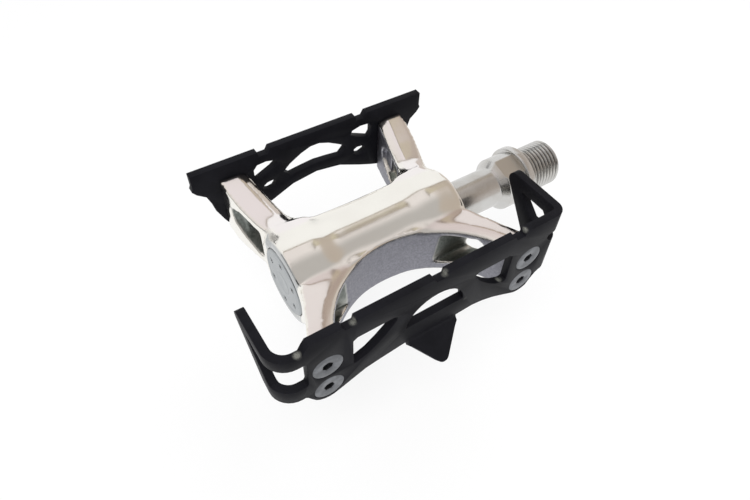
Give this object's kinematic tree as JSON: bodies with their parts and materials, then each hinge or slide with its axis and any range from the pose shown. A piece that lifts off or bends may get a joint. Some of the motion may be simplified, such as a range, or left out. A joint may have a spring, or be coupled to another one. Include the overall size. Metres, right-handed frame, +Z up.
{
  "type": "track pedal",
  "caption": "Platform-cage track pedal for a left crank: forged body, bolted toe and heel plates, foot loops, flip tab and cup-and-cone bearings on a threaded spindle.",
  "frame": {"origin": "on the spindle's axis, at the shoulder that seats on the crank", "axes": "+X along the spindle towards the crank, +Y forward to the toe, +Z up"},
  "size_m": [0.1107, 0.0692, 0.0319],
  "materials": {
    "polished_alloy": "mirror polished on top, matte forged on the inner walls",
    "black_anodised": "satin black anodised, edges slightly worn",
    "screw_steel": "satin, grey",
    "spindle_steel": "bright plated",
    "bearing_steel": "ground",
    "seal_rubber": "matte",
    "cap_alloy": "satin"
  },
  "bodies": {
    "spindle": {"spindle": "spindle_steel", "bearing_cone": "bearing_steel", "lock_washer": "bearing_steel", "locknut": "bearing_steel"},
    "cage": {"pedal_body": "polished_alloy", "front_plate": "black_anodised", "rear_plate": "black_anodised", "front_plate_screws": "screw_steel", "rear_plate_screws": "screw_steel", "inboard_seal": "seal_rubber", "inboard_cup": "bearing_steel", "inboard_balls": "bearing_steel", "outboard_balls": "bearing_steel", "outboard_cup": "bearing_steel", "dust_cap": "cap_alloy"}
  },
  "joints": [
    {"name": "pedal_spin", "type": "hinge", "parent": "spindle", "child": "cage", "pos_m": [0, 0, 0], "axis": [1, 0, 0], "continuous": true}
  ]
}
